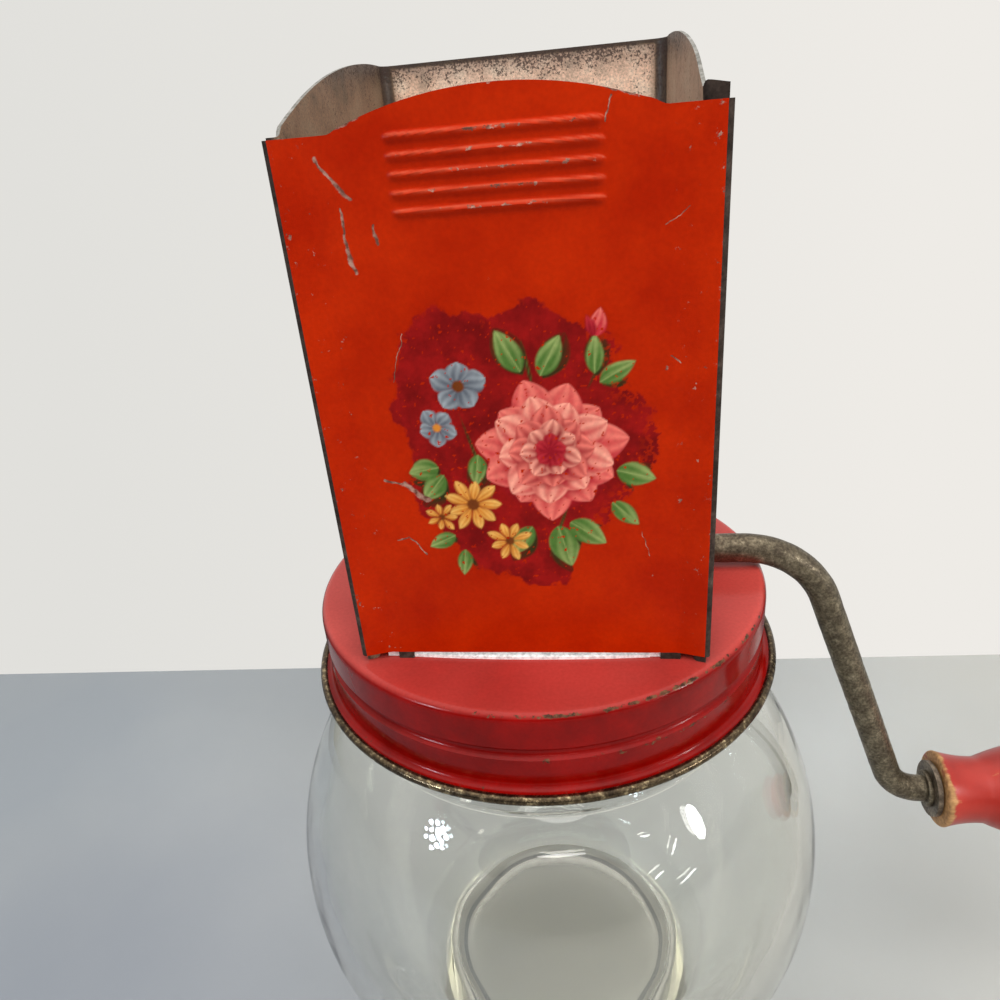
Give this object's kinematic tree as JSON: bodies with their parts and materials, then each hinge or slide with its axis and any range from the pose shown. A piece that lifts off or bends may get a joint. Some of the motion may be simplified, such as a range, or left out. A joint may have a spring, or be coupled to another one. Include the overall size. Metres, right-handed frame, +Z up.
{
  "type": "hand-crank nut chopper",
  "caption": "Hand-crank nut chopper: square tinplate hopper on a screw lid over a round glass jar; a bent steel crank turns star cutters between fixed combs.",
  "frame": {"origin": "centre of the jar's foot ring, on the surface the jar stands on", "axes": "+Z up along the jar's axis, +X along the crank shaft towards the crank, -Y towards the decorated front panel"},
  "size_m": [0.1439, 0.0908, 0.1675],
  "materials": {
    "glass": "clear pressed soda glass",
    "board": "pressed paperboard",
    "lid_paint": "worn red enamel on tinplate",
    "hopper_paint": "worn orange-red enamel on tinplate",
    "hopper_tin": "orange-red enamel outside, tarnished bare tin inside",
    "comb_tin": "tinned sheet steel",
    "crank_steel": "darkened, pitted steel rod",
    "cutter_steel": "tinned stamped steel",
    "washer_steel": "tarnished steel",
    "knob_wood": "turned wood, worn red paint"
  },
  "bodies": {
    "jar": {"glass_jar": "glass"},
    "liner": {"liner_ring": "board"},
    "lid": {"screw_lid": "lid_paint", "hopper_front": "hopper_paint", "hopper_wrap": "hopper_tin", "comb_front": "comb_tin", "comb_rear": "comb_tin"},
    "crank": {"crank_rod": "crank_steel", "knob_washer_inner": "washer_steel", "knob_washer_outer": "washer_steel", "cutter_1": "cutter_steel", "cutter_2": "cutter_steel", "cutter_3": "cutter_steel", "cutter_4": "cutter_steel", "cutter_5": "cutter_steel", "cutter_6": "cutter_steel", "spacer_1": "cutter_steel", "spacer_2": "cutter_steel", "spacer_3": "cutter_steel", "spacer_4": "cutter_steel", "spacer_5": "cutter_steel", "end_spacer_left": "cutter_steel", "end_spacer_right": "cutter_steel"},
    "knob": {"crank_knob": "knob_wood"}
  },
  "joints": [
    {"name": "lid_rise", "type": "slide", "parent": "jar", "child": "liner", "axis": [0, 0, 1], "range_m": [0, 0.0032]},
    {"name": "lid_turn", "type": "hinge", "parent": "liner", "child": "lid", "pos_m": [0, 0, 0.0937], "axis": [0, 0, 1], "range_deg": [0, 270]},
    {"name": "crank_spin", "type": "hinge", "parent": "lid", "child": "crank", "pos_m": [0, 0, 0.09787], "axis": [1, 0, 0], "continuous": true},
    {"name": "knob_spin", "type": "hinge", "parent": "crank", "child": "knob", "pos_m": [0.08, 0, 0.04936], "axis": [1, 0, 0], "continuous": true}
  ],
  "couplings": [
    {"joint": "lid_rise", "follows": "lid_turn", "m_per_rad": 0.00066845}
  ]
}
